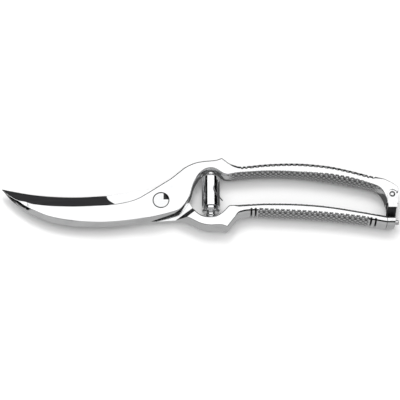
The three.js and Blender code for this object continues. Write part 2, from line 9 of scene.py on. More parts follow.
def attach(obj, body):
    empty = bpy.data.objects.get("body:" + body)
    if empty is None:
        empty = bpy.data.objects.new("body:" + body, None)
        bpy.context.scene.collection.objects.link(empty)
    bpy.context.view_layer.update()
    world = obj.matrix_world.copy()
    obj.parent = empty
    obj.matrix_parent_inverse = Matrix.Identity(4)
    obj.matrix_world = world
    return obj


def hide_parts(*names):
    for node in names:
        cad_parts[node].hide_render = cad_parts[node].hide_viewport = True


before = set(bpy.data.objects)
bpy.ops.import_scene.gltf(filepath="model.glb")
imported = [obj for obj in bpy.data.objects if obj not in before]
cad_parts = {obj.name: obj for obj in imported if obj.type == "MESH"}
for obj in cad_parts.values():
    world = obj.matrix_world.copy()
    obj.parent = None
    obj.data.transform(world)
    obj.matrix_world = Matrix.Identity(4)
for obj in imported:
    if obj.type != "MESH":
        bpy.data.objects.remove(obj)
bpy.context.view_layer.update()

# ---------------------------------------------------------------------------------------
# Front half: one stainless forging that is the lower blade and the upper handle. It is
# ground, polished and chromed. Both flanks of the handle carry a pressed diamond grip, on
# the outer one between two pairs of cut grooves, and the lap removes its lower layer.
THICKNESS = 11.6
MIDDLE = THICKNESS / 2
LAP_LOW = 5.7
LAP_HIGH = 5.9
HANDLE_END = 142.4
BLADE = 101.7
GRIP_PITCH = 3.4
GRIP_DEPTH = 0.6
GROOVE_WIDTH = 1.2
GROOVE_DEPTH = 0.8
SHANK_BORE = 3.1
BALL_SOCKET = 3.3
# Near-black colour painted where shade falls: grip valleys, grooves, gaps and the screw's notch.
PAINTED_SHADE_COLOUR = (0.012, 0.012, 0.013, 1)


class Wire:
    """An output in a finish's node tree; arithmetic on it adds Math nodes."""

    def __init__(self, socket):
        self.socket = socket

    def worked(self, operation, other=None, first=False):
        node = self.socket.id_data.nodes.new("ShaderNodeMath")
        node.operation = operation
        pair = [other, self] if first else [self, other]
        for slot, value in zip(node.inputs, pair):
            plug(slot, value)
        return Wire(node.outputs[0])

    def __add__(self, other):
        return self.worked("ADD", other)

    __radd__ = __add__

    def __sub__(self, other):
        return self.worked("SUBTRACT", other)

    def __rsub__(self, other):
        return self.worked("SUBTRACT", other, first=True)

    def __mul__(self, other):
        return self.worked("MULTIPLY", other)

    __rmul__ = __mul__

    def __truediv__(self, other):
        return self.worked("DIVIDE", other)

    def __pow__(self, other):
        return self.worked("POWER", other)

    def above(self, level):
        return self.worked("GREATER_THAN", level)

    def below(self, level):
        return self.worked("LESS_THAN", level)


def plug(slot, value):
    if isinstance(value, Wire):
        slot.id_data.links.new(value.socket, slot)
    elif value is not None:
        slot.default_value = value


class Finish:
    """A material for one kind of surface on the shears, and the nodes that make it."""

    def __init__(self, name):
        self.material = bpy.data.materials.new(name)
        self.material.use_nodes = True
        self.tree = self.material.node_tree
        self.tree.nodes.clear()

    def node(self, kind, settings, sockets, output=0):
        made = self.tree.nodes.new("ShaderNode" + kind)
        for key, value in settings.items():
            if key == "stops":
                ramp = made.color_ramp.elements
                while len(ramp) < len(value):
                    ramp.new(0.5)
                for stop, (at, colour) in zip(ramp, value):
                    stop.position = at
                    stop.color = colour
            else:
                setattr(made, key, value)
        for key, value in sockets.items():
            plug(made.inputs[key], value)
        return Wire(made.outputs[output])

    def place(self, stretch):
        """Where a point is on its piece, in millimetres, stretched along each axis."""
        here = self.node("TexCoord", {}, {}, "Object")
        return self.node("Mapping", {}, {"Vector": here, "Scale": [s * 1000 for s in stretch]})

    def noise(self, stretch, detail=3.0, roughness=0.55):
        return self.node("TexNoise", {}, {
            "Vector": self.place(stretch), "Scale": 1.0, "Detail": detail, "Roughness": roughness})

    def between(self, share, low, high):
        return self.node("MapRange", {}, {
            "Value": share, "From Min": low, "From Max": high, "To Min": 0.0, "To Max": 1.0})

    def blend(self, share, one, other):
        made = self.tree.nodes.new("ShaderNodeMix")
        made.data_type = "RGBA"
        plug(made.inputs[0], share)
        plug(made.inputs[6], one)
        plug(made.inputs[7], other)
        return Wire(made.outputs[2])

    def surface(self, **sockets):
        shader = self.node("BsdfPrincipled", {}, {
            key.replace("_", " "): value for key, value in sockets.items()})
        output = self.tree.nodes.new("ShaderNodeOutputMaterial")
        plug(output.inputs["Surface"], shader)
        return self.material


def gap_round(finish, at, inner, outer, low):
    """1 between two radii round an upright axis, above a level, for the painted shade on a
    narrow gap's walls, and on the floor of the notch in the screw's head."""
    here = finish.node("TexCoord", {}, {}, "Object")
    x = finish.node("SeparateXYZ", {}, {"Vector": here}, "X") * 1000 - at[0]
    y = finish.node("SeparateXYZ", {}, {"Vector": here}, "Y") * 1000 - at[1]
    z = finish.node("SeparateXYZ", {}, {"Vector": here}, "Z") * 1000
    radius = (x * x + y * y) ** 0.5
    slot = x.above(1.52) * y.above(0.5) * z.below(11.27)
    return (radius.above(inner) + slot).above(0.5) * radius.below(outer) * z.above(low)


def polished_chrome(name, tint, polish, grain, gap=None):
    """Bright chrome: faint lengthwise polishing lines, finger smudges and fine nicks.
    Shade is painted dark in the knurling, the grooves and the gap."""
    finish = Finish(name)
    lines = finish.noise(grain, 4.0, 0.6)
    smudge = finish.between(finish.noise((0.11, 0.13, 0.12), 3.0), 0.45, 0.72)
    nicks = finish.between(finish.noise((1.9, 1.6, 1.7), 2.0, 0.4), 0.68, 0.78)
    haze = finish.node("TexNoise", {}, {
        "Vector": finish.place((0.5, 0.5, 0.5)), "Scale": 1.0, "Detail": 5.0})
    colour = finish.blend(smudge * 0.5 + nicks * 0.3, (*tint, 1), (*[c * 0.88 for c in tint], 1))
    # Painted shade from the grip's marks, and on the gap's walls when a gap is given.
    stain = finish.node("Attribute", {"attribute_name": "stain"}, {}, "Fac")
    if gap:
        stain = stain + gap_round(finish, *gap)
    colour = finish.blend(stain * 0.95, colour, PAINTED_SHADE_COLOUR)
    height = lines * 0.5 + haze * 0.35 - nicks * 0.25
    bump = finish.node("Bump", {}, {"Strength": 0.12, "Distance": 0.00003, "Height": height})
    return finish.surface(
        Base_Color=colour, Metallic=1.0,
        Roughness=polish + lines * 0.05 + smudge * 0.09 + nicks * 0.1, Normal=bump)


# A section is top and bottom, the heights of its widest points on the inner and outer
# side, four rounds (top inner, top outer, bottom inner, bottom outer), and how full each
# round's curve is: 1 is a straight ground bevel, higher is rounder.
ROUND, CHAMFER, BEVEL = 2.3, 1.15, 1.6


def section(top, bottom, ridges, rounds, fullness):
    return np.array([top, bottom, *ridges, *rounds, *fullness])


def through(top_in, top_out, low_in=None, low_out=None):
    """A section of the full thickness, the same above and below unless told otherwise."""
    low = (top_in if low_in is None else low_in, top_out if low_out is None else low_out)
    return section(THICKNESS, 0, (MIDDLE, MIDDLE), (top_in, top_out, *low), (ROUND,) * 4)


def bladed(height, ridge_in, ridge_out, top_in, top_out):
    """The blade above the lap: a chamfered spine, and a face ground down to the edge."""
    return section(
        LAP_HIGH + height, LAP_HIGH, (LAP_HIGH + ridge_in, LAP_HIGH + ridge_out),
        (top_in, top_out, 0.2, 0.1), (CHAMFER, BEVEL, ROUND, ROUND))


def turned_over(part):
    top, bottom, inner, outer = part[:4]
    flip = [THICKNESS - v for v in (bottom, top, inner, outer)]
    return np.array([*flip, *part[6:8], *part[4:6], *part[10:12], *part[8:10]])


PLATE = through(1.5, 1.7, 0.9, 0.9)
RING = through(1.8, 1.9)
CUSP = through(1.8, 1.9)
BAR = through(3.1, 3.9)
SLIM_BAR = through(2.4, 3.4)
FULL_BAR = through(3.7, 3.4)
SHOULDER = through(1.8, 1.5)
LOBE = through(0.8, 0.8)
TIP = bladed(1.5, 0.35, 0.35, 3, 0.2)
POINT = bladed(2.3, 0.6, 0.7, 3, 0.5)
FACE = bladed(3.6, 0.9, 0.35, 3, 1.6)
HEEL = bladed(4.6, 1.2, 0.9, 2, 1.6)


def b(share):
    return -BLADE * share


def h(share):
    return 45 + 97.4 * share


front_runs = [
    [
        (b(0.989), 7.75, b(0.988), 8, TIP), (b(0.952), 2.9, b(0.954), 4.95, TIP),
        (b(0.899), -1.75, b(0.895), 1.6, POINT), (b(0.845), -5.6, b(0.846), 0.5, POINT),
        (b(0.789), -8.7, b(0.797), -0.5, FACE), (b(0.683), -13, b(0.7), -1.65, FACE),
        (b(0.542), -15.7, b(0.556), -2.15, FACE), (b(0.384), -16.1, b(0.4), -1.95, HEEL),
        (b(0.26), -15.4, b(0.3), -1.3, HEEL), (-14.7, -13.9, -22, 0.15, HEEL),
        (-6.9, -12.5, -15.5, 1.9, PLATE), (-0.1, -11, -9.5, 5.35, PLATE),
        (6.8, -9.1, -4, 8.95, PLATE), (12.3, -7, 1, 12.3, PLATE),
        (16, -2.6, 6, 15.7, PLATE), (18.6, 2.2, 11, 20, RING),
        (19.7, 7, 15, 23.3, RING), (21.1, 11.5, 19, 25.4, RING),
        (23.8, 16.3, 23, 26.8, RING), (27.2, 19.6, 27.5, 27.55, RING),
        (30.9, 20.7, 31.5, 27.9, RING), (34.4, 20.1, 35, 28.3, RING),
        (37.8, 18, 38.6, 29.6, RING),
    ],
    [
        (37.8, 18, 38.6, 29.6, RING), (40.1, 16.6, 40.8, 27.9, RING),
        (43.1, 16.2, 43.2, 26, RING), (47, 16.5, 47, 24.8, SLIM_BAR),
        (h(0.07), 17, h(0.07), 24.1, SLIM_BAR), (h(0.24), 17.9, h(0.24), 25.8, SLIM_BAR),
        (h(0.44), 17.2, h(0.44), 26.2, SLIM_BAR), (h(0.63), 14.7, h(0.63), 24.4, FULL_BAR),
        (h(0.765), 12.3, h(0.775), 21.3, FULL_BAR), (h(0.88), 10, h(0.91), 17.6, SLIM_BAR),
        (h(1) - 4.4, 7.4, h(1) - 0.1, 15, SHOULDER), (h(1) - 1, 3, h(1) + 7.6, 9.6, LOBE),
        (h(1), -1, h(1) + 7.6, 4.6, LOBE), (h(1), -1.01, h(1) + 7.6, -1, LOBE),
    ],
]
front_grooves = [51.5, 54.2, HANDLE_END - 12.8, HANDLE_END - 9.9]


def curve_through(points, t):
    """Points at t, from 0 to 1, of a smooth curve through the stations."""
    points = np.asarray(points, float)
    last = len(points) - 1
    at = np.minimum((t * last).astype(int), last - 1)
    w = (t * last - at)[:, None]
    before = points[np.maximum(at - 1, 0)]
    start, end = points[at], points[at + 1]
    after = points[np.minimum(at + 2, last)]
    leave, arrive = (end - before) / 2, (after - start) / 2
    cubic = 2 * start - 2 * end + leave + arrive
    square = 3 * end - 3 * start - 2 * leave - arrive
    return cubic * w**3 + square * w**2 + leave * w + start


def sections_along(rows, t):
    shapes = np.array([row[4] for row in rows])
    last = len(rows) - 1
    at = np.minimum((t * last).astype(int), last - 1)
    w = (t * last - at)[:, None]
    return shapes[at] * (1 - w) + shapes[at + 1] * w


def quarter(ridge, flat, reach, fullness, steps):
    """From the widest point to the flat: how far in from the side, and the height."""
    angle = np.linspace(0, math.pi / 2, steps + 1)[None, :]
    power = 2 / fullness[:, None]
    rise = np.sin(angle) ** power
    back = 1 - np.clip(np.cos(angle), 0, 1) ** power
    return reach[:, None] * back, ridge[:, None] + (flat - ridge)[:, None] * rise


def forged_rings(rows, t, steps, marks):
    """Closed rings of points along one run. marks(s, v, rise) is how deep the surface
    is cut at s along the run and v round the flank, and how much shade is painted there."""
    inner = curve_through([row[:2] for row in rows], t)
    outer = curve_through([row[2:4] for row in rows], t)
    shape = sections_along(rows, t)
    width = np.linalg.norm(outer - inner, axis=1)
    along = (outer - inner) / width[:, None]
    top, bottom, ridge_in, ridge_out, top_in, top_out, low_in, low_out = shape.T[:8]
    full_top_in, full_top_out, full_low_in, full_low_out = shape.T[8:]
    top_in, low_in = np.minimum(top_in, width * 0.8), np.minimum(low_in, width * 0.8)
    top_out = np.minimum(top_out, (width - top_in) * 0.9)
    low_out = np.minimum(low_out, (width - low_in) * 0.9)
    parts = [
        quarter(ridge_in, top, top_in, full_top_in, steps[0]),
        quarter(ridge_out, top, top_out, full_top_out, steps[1]),
        quarter(ridge_out, bottom, low_out, full_low_out, steps[1]),
        quarter(ridge_in, bottom, low_in, full_low_in, steps[0]),
    ]
    sides = [parts[0][0], (width[:, None] - parts[1][0])[:, ::-1],
             (width[:, None] - parts[2][0])[:, 1:], parts[3][0][:, ::-1][:, :-1]]
    heights = [parts[0][1], parts[1][1][:, ::-1], parts[2][1][:, 1:], parts[3][1][:, ::-1][:, :-1]]
    u = np.concatenate(sides, axis=1)
    z = np.concatenate(heights, axis=1)
    du = np.roll(u, -1, 1) - np.roll(u, 1, 1)
    dz = np.roll(z, -1, 1) - np.roll(z, 1, 1)
    size = np.hypot(du, dz) + 1e-12
    out_u, out_z = -dz / size, du / size
    centre = (inner + outer) / 2
    step = np.linalg.norm(np.diff(centre, axis=0), axis=1)
    s = np.concatenate([[0], np.cumsum(step)])
    edge = np.hypot(np.diff(u, axis=1), np.diff(z, axis=1))
    around = np.concatenate([np.zeros((len(t), 1)), np.cumsum(edge, axis=1)], axis=1)
    ridge_at = steps[0] + 1 + steps[1]
    total = around[:, -1:] + np.hypot(u[:, :1] - u[:, -1:], z[:, :1] - z[:, -1:])
    from_inner = np.where(around > total / 2, around - total, around)
    from_outer = around - around[:, ridge_at:ridge_at + 1]
    near_inner = np.abs(from_inner) < np.abs(from_outer)
    v = np.where(near_inner, from_inner, from_outer)
    crest = np.where(near_inner, around[:, steps[0]][:, None],
                     (around[:, ridge_at] - around[:, steps[0] + 1])[:, None])
    cut, dark = marks(s[:, None] + 0 * v, v, crest, inner[:, 0], near_inner)
    u = u - out_u * cut
    z = z - out_z * cut
    x = inner[:, 0, None] + along[:, 0, None] * u
    y = inner[:, 1, None] + along[:, 1, None] * u
    # The fourth value of each point is its painted shade, dark in the grooves and between the
    # diamonds.
    return np.stack([x, y, z, dark + 0 * z], axis=-1)


def no_marks(s, v, crest, x, near_inner):
    return 0 * v, 0 * v


def grip(grooves, inner_span=None, inner_margin=0.2, faded=0.6):
    """The grooves at their places along x, and pillowed diamonds between the two pairs.
    With inner_span, the inner flank has diamonds along that span and no grooves.
    inner_margin is how far below its upper and lower edges the inner flank stays plain."""
    def marks(s, v, crest, x, near_inner):
        cut, dark = 0 * v, 0 * v
        margin = np.where(near_inner, inner_margin, 0.2)
        flank = np.clip((crest - margin - np.abs(v)) / 0.6, 0, 1)
        for at in grooves:
            across = np.clip(np.abs(x - at) / (GROOVE_WIDTH / 2), 0, 1)[:, None]
            turned_in = flank * (1 - near_inner) if inner_span else flank
            cut = np.maximum(cut, GROOVE_DEPTH * (1 - across**2) * turned_in)
            # Painted shade along the grooves.
            dark = np.maximum(dark, (1 - across**4) * turned_in)
        a = s / GRIP_PITCH + v / GRIP_PITCH
        c = s / GRIP_PITCH - v / GRIP_PITCH
        pillow = np.abs(np.sin(math.pi * a) * np.sin(math.pi * c)) ** 0.55
        start, end = grooves[1] + 1.2, grooves[2] - 1.2
        inside = np.clip(np.minimum(x - start, end - x) / faded, 0, 1)[:, None]
        if inner_span:
            held = np.clip(np.minimum(x - inner_span[0], inner_span[1] - x) / 4, 0, 1)[:, None]
            inside = np.where(near_inner, held, inside)
        # Painted shade in the valleys between the diamonds.
        dark = np.maximum(dark, (0.1 + 0.75 * (1 - pillow) ** 0.8) * inside * flank)
        return np.maximum(cut, GRIP_DEPTH * (1 - pillow) * inside * flank), dark
    return marks


def even_steps(rows, spacing):
    """Parameters along a run that lie about evenly in length."""
    fine = np.linspace(0, 1, 4000)
    points = curve_through([row[:2] for row in rows], fine)
    points = (points + curve_through([row[2:4] for row in rows], fine)) / 2
    run = np.concatenate([[0], np.cumsum(np.linalg.norm(np.diff(points, axis=0), axis=1))])
    count = max(2, round(run[-1] / spacing))
    t = np.interp(np.linspace(0, run[-1], count + 1), run, fine)
    t[0], t[-1] = 0, 1
    return t


def mesh_of(name, points, faces):
    """A new piece from points in millimetres."""
    data = bpy.data.meshes.new(name)
    data.from_pydata((np.asarray(points, float) / 1000).tolist(), [], faces)
    data.validate()
    build = bmesh.new()
    build.from_mesh(data)
    bmesh.ops.recalc_face_normals(build, faces=build.faces)
    build.to_mesh(data)
    build.free()
    piece = bpy.data.objects.new(name, data)
    bpy.context.collection.objects.link(piece)
    return piece


def lofted(name, rings):
    """Closed rings joined one to the next and capped at both ends."""
    count, around = rings.shape[:2]
    i, j = np.meshgrid(np.arange(count - 1), np.arange(around), indexing="ij")
    k = (j + 1) % around
    quads = np.stack([i * around + j, i * around + k, (i + 1) * around + k, (i + 1) * around + j], -1)
    faces = quads.reshape(-1, 4).tolist()
    faces.append(list(range(around))[::-1])
    faces.append([(count - 1) * around + j for j in range(around)])
    rows = rings.reshape(-1, 4)
    piece = mesh_of(name, rows[:, :3], faces)
    # The fourth column is painted shade, stored on the points.
    stain = piece.data.attributes.new("stain", "FLOAT", "POINT")
    stain.data.foreach_set("value", rows[:, 3].astype(np.float32))
    return piece


def prism(outline, low, high, lean=None):
    """A block with straight sides; lean moves the last two corners between the ends."""
    n = len(outline)
    lean = lean or [(0, 0)] * n
    points = [(x, y, low) for x, y in outline]
    points += [(x + dx, y + dy, high) for (x, y), (dx, dy) in zip(outline, lean)]
    faces = [list(range(n))[::-1], list(range(n, 2 * n))]
    faces += [[i, (i + 1) % n, n + (i + 1) % n, n + i] for i in range(n)]
    return mesh_of("tool", points, faces)


def turned(name, profile, centre=(0, 0, 0), axis="Z", facets=96):
    """A turned piece: profile is radius and height along its axis, closed on itself."""
    angle = np.linspace(0, 2 * math.pi, facets, endpoint=False)
    points, rows = [], []
    for radius, level in profile:
        if radius < 1e-6:
            rows.append([len(points)] * facets)
            points.append((0, 0, level))
        else:
            rows.append(list(range(len(points), len(points) + facets)))
            points += [(radius * math.cos(a), radius * math.sin(a), level) for a in angle]
    faces = []
    for one, two in zip(rows, rows[1:]):
        for j in range(facets):
            k = (j + 1) % facets
            corners = list(dict.fromkeys([one[j], one[k], two[k], two[j]]))
            if len(corners) > 2:
                faces.append(corners)
    points = np.array(points, float)
    if axis == "Y":
        points = points[:, [0, 2, 1]] * (1, 1, -1)
    if axis == "X":
        points = points[:, [2, 0, 1]]
    return mesh_of(name, points + np.array(centre, float), faces)


def ball(radius, centre, facets=96):
    bend = np.linspace(-math.pi / 2, math.pi / 2, 49)
    profile = [(radius * math.cos(a) if abs(a) < 1.57 else 0.0, radius * math.sin(a)) for a in bend]
    return turned("tool", profile, centre, "Z", facets)


def cylinder(radius, low, high, centre=(0, 0), facets=96):
    profile = [(0, low), (radius, low), (radius, high), (0, high)]
    return turned("tool", profile, (*centre, 0), "Z", facets)


def worked_on(piece, tool, operation="DIFFERENCE"):
    """Cuts tool away from piece, or joins it on, and puts the tool away."""
    step = piece.modifiers.new("work", "BOOLEAN")
    step.object = tool
    step.operation = operation
    step.solver = "MANIFOLD"
    shaped = bpy.data.meshes.new_from_object(
        piece.evaluated_get(bpy.context.evaluated_depsgraph_get()))
    piece.modifiers.remove(step)
    worn = piece.data
    piece.data = shaped
    bpy.data.meshes.remove(worn)
    data = tool.data
    bpy.data.objects.remove(tool)
    bpy.data.meshes.remove(data)


def finished(piece, body, nodes, material, softened=0.0, sharp=35):
    """Shading, a small broken edge, the material, and what the piece stands for."""
    piece.data.shade_smooth()
    piece.data.set_sharp_from_angle(angle=math.radians(sharp))
    if softened:
        edge = piece.modifiers.new("broken edges", "BEVEL")
        edge.width = softened / 1000
        edge.segments = 2
        edge.limit_method = "ANGLE"
        edge.angle_limit = math.radians(sharp)
        edge.use_clamp_overlap = True
        edge.miter_outer = "MITER_ARC"
    even = piece.modifiers.new("even shading", "WEIGHTED_NORMAL")
    even.keep_sharp = True
    piece.data.materials.clear()
    piece.data.materials.append(material)
    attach(piece, body)
    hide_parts(*nodes)


front_half = lofted("front_half_forging", np.concatenate([
    forged_rings(front_runs[0], even_steps(front_runs[0], 0.8), (30, 36), no_marks),
    forged_rings(front_runs[1], even_steps(front_runs[1], 0.2), (30, 36),
                 grip(front_grooves, (42, 139)))[1:],
]))
worked_on(front_half, prism(
    [(-121, 60), (-121, -60), (25, -60), (25, 1.2), (19.6, 4.2), (2.6, 13.4), (2.6, 60)],
    -1, LAP_HIGH))
worked_on(front_half, cylinder(SHANK_BORE, -1, 13))
worked_on(front_half, turned("tool", [
    (0, 9.1), (5.25, 9.1), (5.25, 11.5), (5.35, 11.61), (5.35, 13), (0, 13)]))
case_ball = (31.5, 19.8)
worked_on(front_half, ball(BALL_SOCKET, (*case_ball, MIDDLE)))
case_travel = 9.2  # degrees
for swing in (0, case_travel / 2, case_travel):
    room = turned("tool", [(0, -19.8), (6.1, -19.8), (6.1, -1.8), (0, -1.8)], axis="Y")
    room.data.transform(Matrix.Rotation(-math.radians(swing), 4, "Z"))
    room.data.transform(Matrix.Translation((case_ball[0] / 1000, case_ball[1] / 1000, MIDDLE / 1000)))
    worked_on(front_half, room)
pin = (146.2, 4.15)
ear_room = 3.3
ear_depth = 2
for low, high in ((-1, ear_depth), (THICKNESS - ear_depth, 13)):
    room = [(ear_room * math.cos(a), ear_room * math.sin(a))
            for a in np.linspace(math.pi, math.pi / 3, 25)]
    room += [(18.97, -7.14), (20, -20), (-ear_room, -20)]
    worked_on(front_half, prism([(pin[0] + x, pin[1] + y) for x, y in room], low, high))
worked_on(front_half, cylinder(1.5, -1, 13, pin))
# The wall of the screw head's seat gets painted shade.
chrome = polished_chrome("handle_chrome", (0.93, 0.935, 0.94), 0.09, (0.12, 2.4, 1.6),
                         ((0, 0), 4, 5.34, 9))
finished(front_half, "front", ["front_half"], chrome)

# ---------------------------------------------------------------------------------------
# Rear half: the mating forging, the upper blade and the lower handle. Behind the cutting
# edge its inner face is ground flat by a coarse wheel, which leaves it dark and streaked
# up to the plunge line; its cup at the ring carries the plunger's ball.
END_SLANT = 0.7
rear_runs = [
    [
        (b(0.999), 9.4, b(1), 8.9, turned_over(TIP)),
        (b(0.942), 8.1, b(0.95), 4.4, turned_over(TIP)),
        (b(0.823), 5.95, b(0.842), -1.4, turned_over(FACE)),
        (b(0.703), 4.6, b(0.723), -3.9, turned_over(FACE)),
        (b(0.544), 4, b(0.554), -4.9, turned_over(FACE)),
        (b(0.385), 4.75, b(0.406), -5.1, turned_over(HEEL)),
        (b(0.317), 5.35, b(0.327), -6.2, turned_over(HEEL)),
        (-22, 7, -24, -10, turned_over(HEEL)), (-10.8, 8.75, -15, -12.4, PLATE),
        (0, 9.4, -6, -12.4, PLATE), (8, 8.3, 0, -12.2, PLATE), (13.5, 5.2, 6, -11.8, PLATE),
        (16.8, 1.6, 11, -11.6, PLATE), (19, -2.2, 15, -12.1, PLATE),
        (21, -5.2, 19.2, -13.9, RING), (23.4, -7.6, 22.6, -15.7, RING),
        (26.6, -9.4, 26, -17.1, RING), (30.9, -10, 30.5, -17.9, RING),
        (35.2, -9.3, 35, -17.8, RING), (38.8, -7, 38.6, -17.9, CUSP),
        (41.2, -4.6, 41.7, -18.9, CUSP),
    ],
    [
        (41.2, -4.6, 41.7, -18.9, CUSP), (43, -2.7, 44.2, -15.7, RING),
        (46, -2.3, 46.5, -12.8, RING), (49.8, -2, 49.3, -10.3, BAR),
        (h(0.12), -1.5, h(0.12), -8.9, BAR), (h(0.24), -1, h(0.24) - 0.1, -9.4, BAR),
        (h(0.44), -1.4, h(0.44) - 0.3, -10.4, BAR),
        (h(0.63), -3.1, h(0.63) - END_SLANT * 0.4, -11.8, BAR),
        (h(0.825), -6.3, h(0.825) - END_SLANT * 0.8, -14, BAR),
        (h(0.92), -8, h(0.92) - END_SLANT, -15.4, BAR), (h(1), -9.5, h(1) - END_SLANT, -16.7, BAR),
    ],
]
rear_grooves = [57, 59.7, HANDLE_END - 9.8, HANDLE_END - 6.9]
rear_half = lofted("rear_half_forging", np.concatenate([
    forged_rings(rear_runs[0], even_steps(rear_runs[0], 0.8), (30, 36), no_marks),
    forged_rings(rear_runs[1], even_steps(rear_runs[1], 0.2), (30, 36),
                 grip(rear_grooves, inner_margin=2.6))[1:],
]))
lean = (2.95, -3.776)
worked_on(rear_half, prism([(-121, 60), (-121, -60), (5, -14.9), (27, 2.4)], LAP_LOW, 12.6,
                           [(0, 0), (0, 0), lean, lean]))
worked_on(rear_half, cylinder(SHANK_BORE, -1, 13))
worked_on(rear_half, cylinder(5.7, -1, 2.7))
foot_ball = (31.5, -7.6, MIDDLE)
worked_on(rear_half, ball(BALL_SOCKET, foot_ball))
stud_y = -13.1
worked_on(rear_half, turned("tool", [(0, 136), (1.22, 136), (1.22, 150), (0, 150)],
                            (0, stud_y, MIDDLE), "X"))


def ground_steel(name):
    """Chrome, but ground and dark on the blade's flat inner face; the riser of the lap
    and the handle's end get the same dark as painted shade, and shade is painted dark in the grip and
    the grooves."""
    finish = Finish(name)
    tint, polish = (0.93, 0.935, 0.94), 0.1
    lines = finish.noise((0.12, 2.4, 1.6), 4.0, 0.6)
    smudge = finish.between(finish.noise((0.11, 0.13, 0.12), 3.0), 0.45, 0.72)
    streaks = finish.noise((0.05, 5.5, 1.0), 6.0, 0.7)
    fine = finish.noise((0.15, 14.0, 1.0), 3.0, 0.6)
    here = finish.node("TexCoord", {}, {}, "Object")
    x = finish.node("SeparateXYZ", {}, {"Vector": here}, "X") * 1000
    y = finish.node("SeparateXYZ", {}, {"Vector": here}, "Y") * 1000
    z = finish.node("SeparateXYZ", {}, {"Vector": here}, "Z") * 1000
    toward = finish.node("NewGeometry", {}, {}, "True Normal")
    facing = finish.node("SeparateXYZ", {}, {"Vector": toward}, "Z")
    rise = finish.between(y, -1.6, 5.0)
    plunge = finish.between(-26.6 - 8.2 * (1 - (1 - rise) ** 2.2) - x, -0.15, 0.15)
    ground_and_painted_shade = plunge * facing.above(0.9) * z.below(5.8)
    across = finish.node("SeparateXYZ", {}, {"Vector": toward}, "X")
    ahead = finish.node("SeparateXYZ", {}, {"Vector": toward}, "Y")
    # The riser of the lap and the handle's end face are painted dark as shade, like the ground face.
    riser = (ahead * 0.786 - across * 0.618).above(0.4) * z.above(5.85) * x.above(4) * x.below(27)
    end_face = across.above(0.75) * x.above(120)
    ground_and_painted_shade = finish.between(ground_and_painted_shade + riser * y.below(3) + end_face, 0.0, 1.0)
    streak = finish.between(streaks, 0.3, 0.75)
    dark = finish.blend(streak, (0.018, 0.018, 0.019, 1), (0.06, 0.06, 0.063, 1))
    bright = finish.blend(smudge * 0.5, (*tint, 1), (*[c * 0.88 for c in tint], 1))
    # Painted shade in the grip and the grooves.
    stain = finish.node("Attribute", {"attribute_name": "stain"}, {}, "Fac")
    colour = finish.blend(stain * 0.95, finish.blend(ground_and_painted_shade, bright, dark), PAINTED_SHADE_COLOUR)
    rough = (polish + lines * 0.05 + smudge * 0.09) * (1 - ground_and_painted_shade) + (0.32 + fine * 0.2) * ground_and_painted_shade
    height = lines * 0.5 * (1 - ground_and_painted_shade) + (streaks * 1.6 + fine) * ground_and_painted_shade
    bump = finish.node("Bump", {}, {"Strength": 0.2, "Distance": 0.00003, "Height": height})
    return finish.surface(Base_Color=colour, Metallic=1.0, Roughness=rough, Normal=bump)


finished(rear_half, "rear", ["rear_half"], ground_steel("blade_and_handle_chrome"))

# ---------------------------------------------------------------------------------------
# Pivot screw and nut: a turned screw whose wide flat head lies flush in the front half,
# with one side milled lower, and a round nut let into the rear half that is tightened
# with a two-pin spanner.
screw = turned("pivot_screw_turning", [
    (0, 0.9), (2.3, 0.9), (2.5, 1.1), (2.5, 2.75), (3, 2.75), (3, 9.2), (4.7, 9.2), (4.8, 9.35),
    (4.8, 11.35), (4.72, 11.52), (4.55, 11.6), (0, 11.6)])
worked_on(screw, prism([(1.5, -6), (6, -6), (6, 6), (1.5, 6)], 11.3, 13))
notch = [(1.5, 12.6), (1.5, 11.3), (5.5, 9.6), (5.5, 12.6)]
worked_on(screw, mesh_of("tool", [(x, y, z) for y in (0.5, 10.5) for x, z in notch],
                         [[0, 1, 2, 3], [4, 5, 6, 7]]
                         + [[i, (i + 1) % 4, 4 + (i + 1) % 4, 4 + i] for i in range(4)]))
fastener = polished_chrome("fastener_steel", (0.86, 0.865, 0.87), 0.16, (1.5, 1.5, 1.5))
# The rim of the head and the floor of its notch get painted shade.
screw_steel = polished_chrome("screw_head_steel", (0.86, 0.865, 0.87), 0.16, (1.5, 1.5, 1.5),
                              ((0, 0), 4.7, 6, 9))
finished(screw, "front", ["pivot_screw"], screw_steel)
nut = turned("pivot_nut_turning", [
    (0, 0), (5.2, 0), (5.4, 0.08), (5.5, 0.3), (5.5, 2.6), (2.55, 2.6), (2.55, 0.8), (0, 0.8)])
for side in (-3.9, 3.9):
    worked_on(nut, cylinder(0.8, -1, 1.2, (side, 0), 48))
finished(nut, "front", ["pivot_nut"], fastener, 0.06)

# ---------------------------------------------------------------------------------------
# Spring barrel: a drawn tube closed by a plug whose ball sits in the arch, a thinner
# tube that slides in it on a foot whose ball sits in the cup, the coil spring inside
# both, and a bent wire that stops the two from coming apart.
AXIS_X = 31.5
on_axis = (AXIS_X, 0, MIDDLE)
case = turned("spring_case_tube", [
    (4.7, -2.7), (5.5, -2.7), (5.62, -2.62), (5.65, -2.45), (5.65, 16.9), (5.58, 17.2),
    (5.42, 17.36), (5.2, 17.4), (4.7, 17.4), (4.7, -2.7)], on_axis, "Y", 128)
worked_on(case, cylinder(0.55, MIDDLE, 13, (AXIS_X + 2.1, 10.2), 32))
drawn = polished_chrome("drawn_tube_chrome", (0.92, 0.925, 0.935), 0.07, (2.2, 0.1, 2.2))
finished(case, "barrel", ["spring_case"], drawn)
swell = [(2.9 * math.cos(a), 2.9 * math.sin(a)) for a in np.linspace(-0.944, math.pi / 2, 24)]
